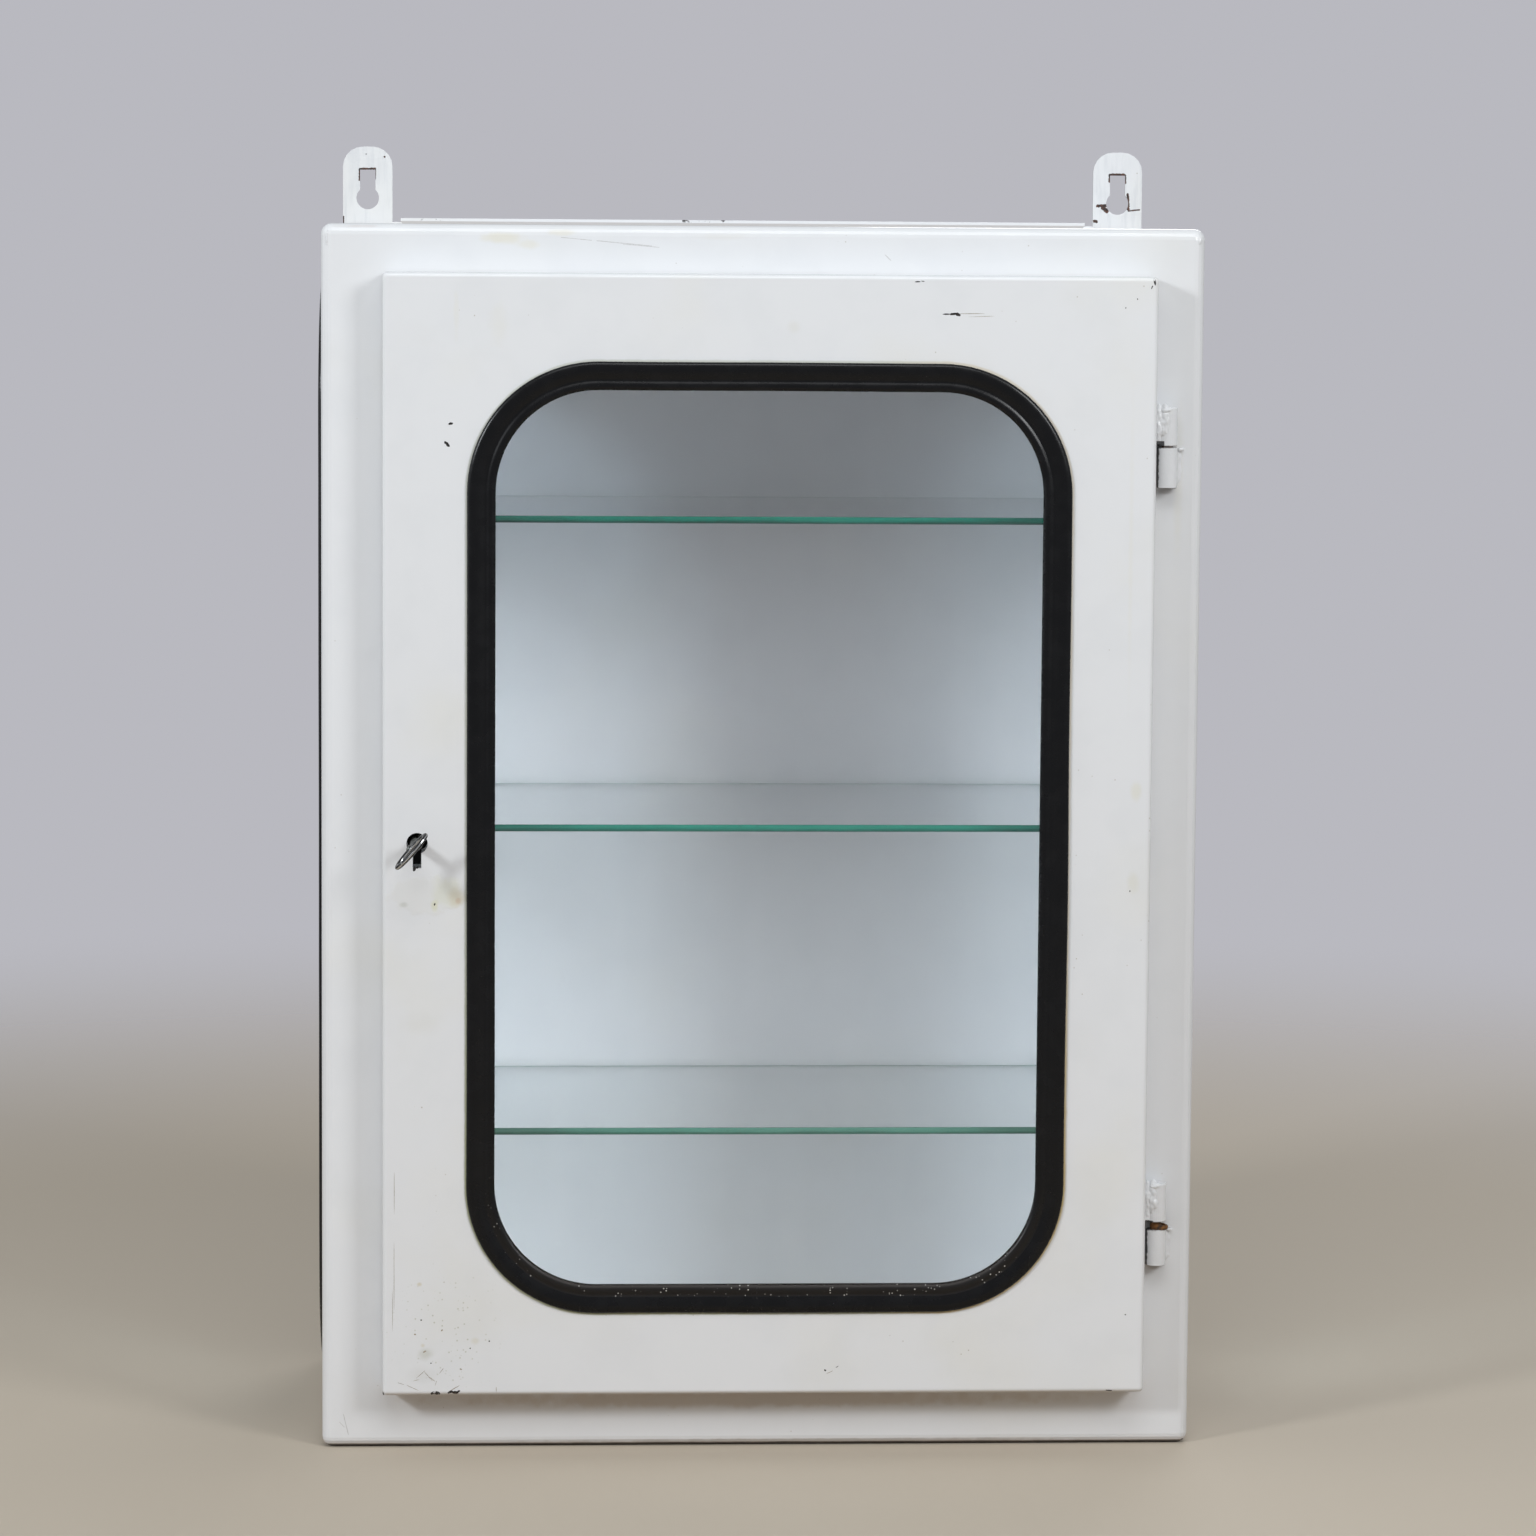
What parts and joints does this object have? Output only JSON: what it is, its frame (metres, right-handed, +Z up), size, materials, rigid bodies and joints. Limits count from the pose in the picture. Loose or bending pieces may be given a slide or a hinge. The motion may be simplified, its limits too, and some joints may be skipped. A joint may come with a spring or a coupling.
{
  "type": "wall-hung medicine cabinet",
  "caption": "Wall-hung enamelled steel medicine cabinet with a glazed lockable door, glazed sides, glass shelves, barrel hinges and keyhole hangers.",
  "frame": {"origin": "middle of the carcass's bottom face", "axes": "+Z up, the door faces -Y, +X to the right as the door is looked at"},
  "size_m": [0.5054, 0.3078, 0.7465],
  "materials": {
    "white_enamel": "glossy stoved enamel, aged and lightly chipped",
    "black_rubber": "aged black rubber",
    "window_glass": "clear float glass",
    "shelf_glass": "clear float glass with green edges",
    "rusty_steel": "bare steel, browned with rust",
    "zinc_steel": "dull zinc plate",
    "chrome": "worn chrome plate",
    "spring_steel": "blued spring steel"
  },
  "bodies": {
    "cabinet": {"front_frame": "white_enamel", "side_panel_left": "white_enamel", "side_panel_right": "white_enamel", "top_panel": "white_enamel", "bottom_panel": "white_enamel", "back_panel": "white_enamel", "hanger_left": "white_enamel", "hanger_right": "white_enamel", "hinge_upper_frame_barrel": "white_enamel", "hinge_lower_frame_barrel": "white_enamel", "lug_lower_left_front": "white_enamel", "lug_lower_left_rear": "white_enamel", "lug_lower_right_front": "white_enamel", "lug_lower_right_rear": "white_enamel", "lug_middle_left_front": "white_enamel", "lug_middle_left_rear": "white_enamel", "lug_middle_right_front": "white_enamel", "lug_middle_right_rear": "white_enamel", "lug_upper_left_front": "white_enamel", "lug_upper_left_rear": "white_enamel", "lug_upper_right_front": "white_enamel", "lug_upper_right_rear": "white_enamel", "seal_left": "black_rubber", "seal_right": "black_rubber", "glass_left": "window_glass", "glass_right": "window_glass", "shelf_lower": "shelf_glass", "shelf_middle": "shelf_glass", "shelf_upper": "shelf_glass", "hinge_upper_pin": "rusty_steel", "hinge_lower_pin": "rusty_steel"},
    "door": {"door_pan": "white_enamel", "seal_door": "black_rubber", "glass_door": "window_glass", "hinge_upper_door_barrel": "white_enamel", "hinge_lower_door_barrel": "white_enamel", "lock_case": "zinc_steel", "lock_cover": "zinc_steel", "lock_screw_lower_left": "zinc_steel", "lock_screw_lower_right": "zinc_steel", "lock_screw_upper_left": "zinc_steel", "lock_screw_upper_right": "zinc_steel"},
    "key": {"key": "chrome"},
    "bolt": {"lock_bolt": "zinc_steel", "bolt_spring": "spring_steel"}
  },
  "joints": [
    {"name": "door_swing", "type": "hinge", "parent": "cabinet", "child": "door", "pos_m": [0.22875, -0.1312, 0.35], "axis": [0, 0, 1], "range_deg": [0, 140]},
    {"name": "key_turn", "type": "hinge", "parent": "door", "child": "key", "pos_m": [-0.1955, -0.136, 0.352], "axis": [0, -1, 0], "range_deg": [0, 84]},
    {"name": "bolt_slide", "type": "slide", "parent": "door", "child": "bolt", "axis": [-1, 0, 0], "range_m": [0, 0.0081]}
  ],
  "couplings": [
    {"joint": "bolt_slide", "follows": "key_turn", "m_per_rad": 0.00546}
  ]
}
